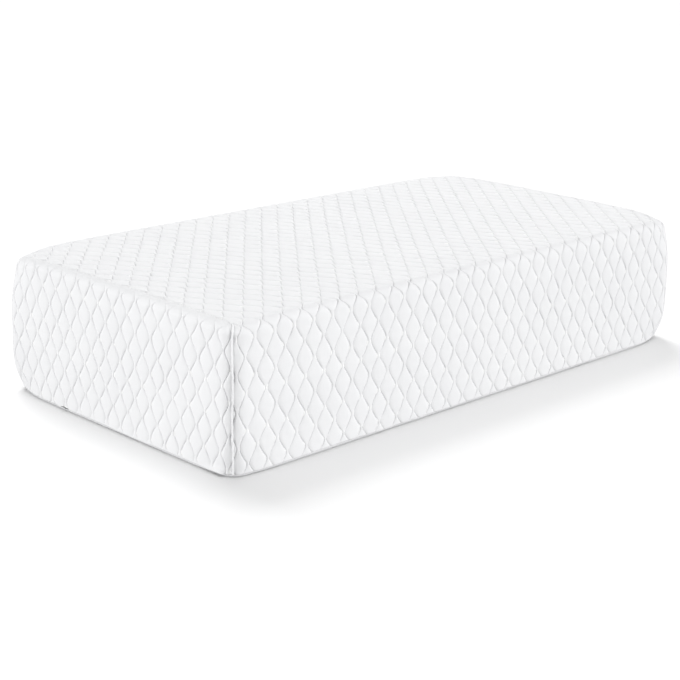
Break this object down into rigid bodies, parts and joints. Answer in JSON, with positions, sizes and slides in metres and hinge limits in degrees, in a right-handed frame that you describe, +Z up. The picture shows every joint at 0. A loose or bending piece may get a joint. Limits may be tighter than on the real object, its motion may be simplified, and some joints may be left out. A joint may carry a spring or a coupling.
{
  "type": "memory foam mattress",
  "caption": "Thick rectangular foam mattress in a white quilted knit cover with a zip round its bottom edge",
  "frame": {"origin": "middle of the footprint, on the surface the mattress lies on", "axes": "+X along the length towards the foot end, +Y across the width, +Z up; the zip slider is on the -X end"},
  "size_m": [1.905, 0.991, 0.406],
  "materials": {
    "quilted_knit": "white double-knit, quilted",
    "quilt_fill": "loose white polyester fibre",
    "quilt_backing": "thin bonded non-woven",
    "seam_thread": "overlocked white seam",
    "base_cloth": "plain woven non-slip cloth",
    "barrier_knit": "off-white barrier knit",
    "memory_foam": "fine open-cell foam",
    "transition_foam": "open-cell foam",
    "support_foam": "firm open-cell foam",
    "zip_tape": "woven white tape",
    "zip_coil": "white nylon coil",
    "zip_metal": "dull nickel plate"
  },
  "bodies": {
    "mattress": {"support_foam_base": "support_foam", "transition_foam_layer": "transition_foam", "memory_foam_layer": "memory_foam", "barrier_sock": "barrier_knit", "barrier_sock_head_closure": "barrier_knit", "barrier_sock_foot_closure": "barrier_knit", "cover_wrap_knit": "quilted_knit", "head_panel_knit": "quilted_knit", "foot_panel_knit": "quilted_knit", "cover_wrap_fill": "quilt_fill", "head_panel_fill": "quilt_fill", "foot_panel_fill": "quilt_fill", "cover_wrap_backing": "quilt_backing", "head_panel_backing": "quilt_backing", "foot_panel_backing": "quilt_backing", "head_seam": "seam_thread", "foot_seam": "seam_thread", "bottom_panel": "base_cloth", "zip_tape_upper": "zip_tape", "zip_tape_lower": "zip_tape", "zip_coil_upper": "zip_coil", "zip_coil_lower": "zip_coil", "zip_start_stop": "zip_metal", "zip_end_stop": "zip_metal", "zip_end_cap": "zip_tape"},
    "slider": {"zip_slider": "zip_metal"},
    "pull_tab": {"zip_pull_tab": "zip_metal"}
  },
  "joints": [
    {"name": "zip_slide", "type": "slide", "parent": "mattress", "child": "slider", "axis": [0, -1, 0], "range_m": [0, 0.63]},
    {"name": "tab_flip", "type": "hinge", "parent": "slider", "child": "pull_tab", "pos_m": [-0.9492, 0.22, 0.0086], "axis": [0, 0, 1], "range_deg": [0, 180]}
  ]
}
